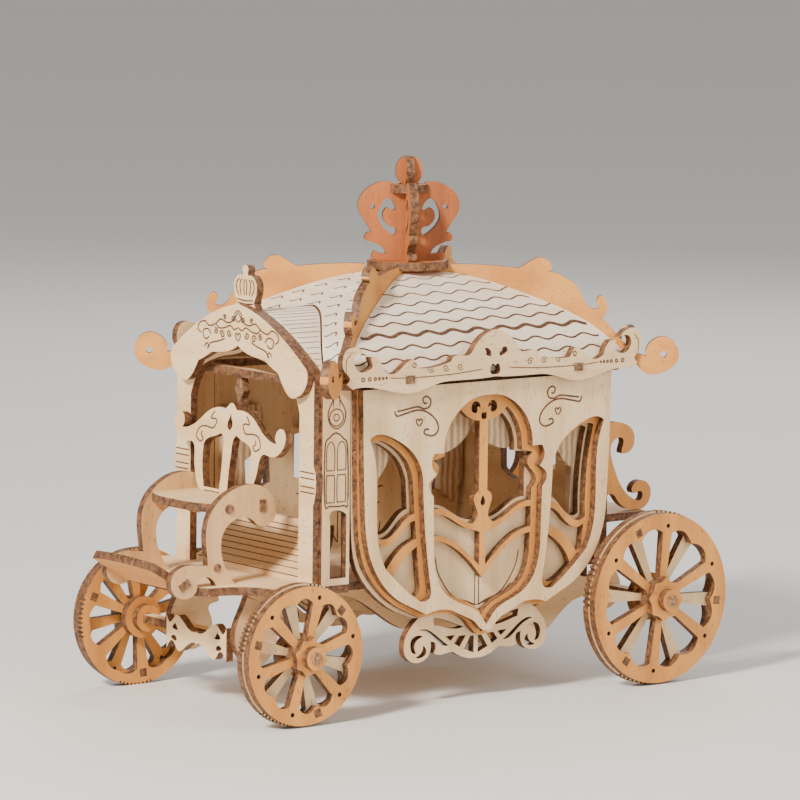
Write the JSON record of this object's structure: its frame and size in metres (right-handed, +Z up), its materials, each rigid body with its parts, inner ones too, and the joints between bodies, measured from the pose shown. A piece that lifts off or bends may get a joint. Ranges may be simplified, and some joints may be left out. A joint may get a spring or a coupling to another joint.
{
  "type": "wooden 3d jigsaw model",
  "caption": "Flat-pack plywood royal carriage with layered arched sides, a slit hipped roof, scroll ribs, a crown, a driver seat and spoked wheels that turn on dowels.",
  "frame": {"origin": "bottom centre of the bounding box, on the ground under the middle of the carriage", "axes": "+X forward, towards the driver seat and the front wheels; +Y to the carriage left; +Z up"},
  "size_m": [0.1542, 0.0852, 0.128],
  "materials": {
    "ply_birch": "laser-cut birch plywood, cream faces with burnt brown cut edges",
    "ply_tan": "laser-cut plywood with golden tan faces and burnt brown cut edges",
    "ply_sheet": "thin pale sheet, bent, with burnt slits",
    "ply_dark": "small burnt brown pieces",
    "ply_curtain": "plywood cut and engraved as drapery",
    "dowel": "turned hardwood dowel, end grain at the ends"
  },
  "bodies": {
    "carriage": {"axle_dowels": "dowel", "axle_stop_rings": "ply_birch", "ceiling_frame": "ply_birch", "chandelier": "ply_dark", "chassis_rail_left": "ply_birch", "chassis_rail_right": "ply_birch", "crown_plate_a": "ply_tan", "crown_plate_b": "ply_tan", "crown_rings": "ply_tan", "curtains_left": "ply_curtain", "curtains_right": "ply_curtain", "floor_deck": "ply_birch", "front_axle_bar": "ply_birch", "front_axle_beam": "ply_birch", "front_axle_plates": "ply_birch", "hip_ribs_front": "ply_tan", "hip_ribs_rear": "ply_tan", "joinery_pegs": "ply_dark", "portal_frame": "ply_birch", "rear_axle_bar": "ply_birch", "rear_axle_beam": "ply_birch", "rear_brackets": "ply_tan", "rear_rail": "ply_birch", "rear_shelf": "ply_birch", "rear_wall": "ply_birch", "roof_front": "ply_sheet", "roof_left": "ply_sheet", "roof_rear": "ply_sheet", "roof_right": "ply_sheet", "seat_arm_left": "ply_birch", "seat_arm_right": "ply_birch", "seat_back": "ply_birch", "seat_board": "ply_birch", "side_frame_left": "ply_birch", "side_frame_right": "ply_birch", "side_panel_left": "ply_birch", "side_panel_right": "ply_birch", "side_trim_left": "ply_tan", "side_trim_right": "ply_tan", "sign_plate": "ply_birch", "toe_board": "ply_birch", "valance_left": "ply_birch", "valance_rear": "ply_birch", "valance_right": "ply_birch", "vault_sheet": "ply_sheet", "vestibule_panels": "ply_birch", "vestibule_riser": "ply_birch"},
    "wheel_front_left": {"wheel_front_left_face": "ply_tan", "wheel_front_left_back": "ply_birch", "wheel_front_left_hub": "ply_birch"},
    "wheel_front_right": {"wheel_front_right_face": "ply_tan", "wheel_front_right_back": "ply_birch", "wheel_front_right_hub": "ply_birch"},
    "wheel_rear_left": {"wheel_rear_left_face": "ply_tan", "wheel_rear_left_back": "ply_birch", "wheel_rear_left_hub": "ply_birch"},
    "wheel_rear_right": {"wheel_rear_right_face": "ply_tan", "wheel_rear_right_back": "ply_birch", "wheel_rear_right_hub": "ply_birch"}
  },
  "joints": [
    {"name": "wheel_front_left_spin", "type": "hinge", "parent": "carriage", "child": "wheel_front_left", "pos_m": [0.04919, 0.0361, 0.0167], "axis": [0, 1, 0], "continuous": true},
    {"name": "wheel_front_right_spin", "type": "hinge", "parent": "carriage", "child": "wheel_front_right", "pos_m": [0.04919, -0.0361, 0.0167], "axis": [0, 1, 0], "continuous": true},
    {"name": "wheel_rear_left_spin", "type": "hinge", "parent": "carriage", "child": "wheel_rear_left", "pos_m": [-0.05591, 0.0382, 0.0212], "axis": [0, 1, 0], "continuous": true},
    {"name": "wheel_rear_right_spin", "type": "hinge", "parent": "carriage", "child": "wheel_rear_right", "pos_m": [-0.05591, -0.0382, 0.0212], "axis": [0, 1, 0], "continuous": true}
  ]
}
